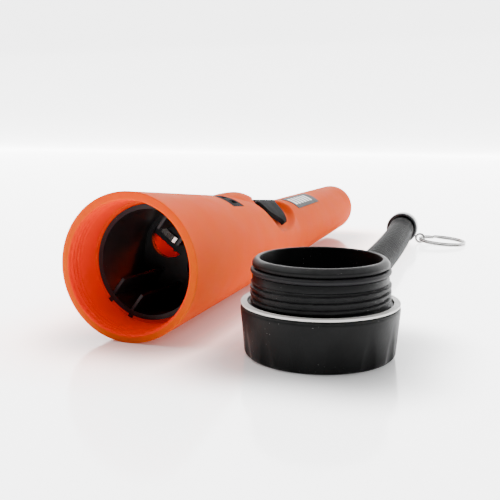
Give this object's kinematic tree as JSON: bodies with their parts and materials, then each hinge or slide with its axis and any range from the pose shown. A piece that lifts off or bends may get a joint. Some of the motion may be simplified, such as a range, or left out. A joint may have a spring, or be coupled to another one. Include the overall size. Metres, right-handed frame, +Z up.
{
  "type": "pinpointer_probe",
  "caption": "Hand-held pinpointing metal detector, battery cap off: tapered orange probe with top button, black screw cap with retainer ring, coiled lanyard and split ring.",
  "frame": {"origin": "centre of the footprint of probe and cap, on the resting surface (lanyard not counted)", "axes": "+Y from the battery mouth towards the rounded tip, +Z up, +X from the probe towards the cap"},
  "size_m": [0.0904, 0.2326, 0.0399],
  "materials": {
    "orange_plastic": "satin, lightly frosted orange moulding",
    "dark_plastic": "fine matt",
    "label_film": "printed film with plain white bars",
    "black_plastic": "half gloss moulding",
    "nickel_steel": "nickel plated strip",
    "wire_jacket": "soft jacket",
    "board_green": "solder mask",
    "component_black": "moulded packages",
    "brass_disc": "rolled disc",
    "tungsten": "sintered",
    "natural_plastic": "natural nylon",
    "ferrite": "ground ferrite",
    "copper_enamel": "enamelled wire",
    "black_rubber": "moulded silicone rubber",
    "cap_plastic": "dusty half-matt moulding",
    "seal_rubber": "smooth",
    "foam": "closed-cell foam",
    "grey_plastic": "light grey, slightly worn",
    "cord_black": "smooth polyurethane cord",
    "collar_plastic": "glossy moulding",
    "ring_steel": "bright plated steel"
  },
  "bodies": {
    "housing": {"housing": "orange_plastic", "speaker_grille": "dark_plastic", "label_plate": "label_film", "bay_liner": "black_plastic", "contact_holder": "black_plastic", "contact_rivets": "nickel_steel", "battery_leads": "wire_jacket", "circuit_board": "board_green", "board_chips": "component_black", "tact_switch": "component_black", "board_screws": "nickel_steel", "buzzer": "brass_disc", "vibration_motor": "nickel_steel", "coil_bobbin": "natural_plastic", "ferrite_rod": "ferrite", "receive_winding": "copper_enamel", "transmit_winding": "copper_enamel", "coil_leads": "copper_enamel"},
    "button": {"power_button": "black_rubber", "button_plunger": "natural_plastic"},
    "leaf_negative": {"contact_leaf_negative": "nickel_steel"},
    "leaf_positive": {"contact_leaf_positive": "nickel_steel"},
    "motor_weight": {"motor_weight": "tungsten"},
    "retainer": {"retainer_ring": "grey_plastic", "lanyard_tie": "cord_black", "coil_collar_near": "collar_plastic", "lanyard_coil": "cord_black", "coil_collar_far": "collar_plastic", "ring_link": "ring_steel"},
    "cap": {"cap_body": "cap_plastic", "cap_o_ring": "seal_rubber", "battery_pad": "foam"},
    "split_ring": {"split_ring": "ring_steel"}
  },
  "joints": [
    {"name": "button_press", "type": "slide", "parent": "housing", "child": "button", "axis": [0, -0.0537, -0.9986], "range_m": [0, 0.0008], "stiffness_N_per_m": 2500},
    {"name": "leaf_negative_flex", "type": "hinge", "parent": "housing", "child": "leaf_negative", "pos_m": [-0.03419, -0.0658, 0.02468], "axis": [0.5878, 0.0435, 0.8078], "range_deg": [0, 6], "stiffness_Nm_per_rad": 0.05},
    {"name": "leaf_positive_flex", "type": "hinge", "parent": "housing", "child": "leaf_positive", "pos_m": [-0.01541, -0.06653, 0.01106], "axis": [-0.5878, -0.0435, -0.8078], "range_deg": [0, 6], "stiffness_Nm_per_rad": 0.05},
    {"name": "motor_spin", "type": "hinge", "parent": "housing", "child": "motor_weight", "pos_m": [-0.0198, -0.02915, 0.01908], "axis": [0, 0.9986, -0.0537], "continuous": true},
    {"name": "cap_travel", "type": "slide", "parent": "housing", "child": "retainer", "axis": [0, 0, 1], "range_m": [0, 0.0048]},
    {"name": "cap_turn", "type": "hinge", "parent": "retainer", "child": "cap", "pos_m": [0.0248, -0.09631, 0.0126], "axis": [0, 0, 1], "range_deg": [0, 1080.1]},
    {"name": "ring_swing", "type": "hinge", "parent": "retainer", "child": "split_ring", "pos_m": [0.0241, 0.09089, 0.00255], "axis": [0, -1, 0], "range_deg": [0, 95]}
  ],
  "couplings": [
    {"joint": "cap_turn", "follows": "cap_travel", "rad_per_m": 3927}
  ]
}
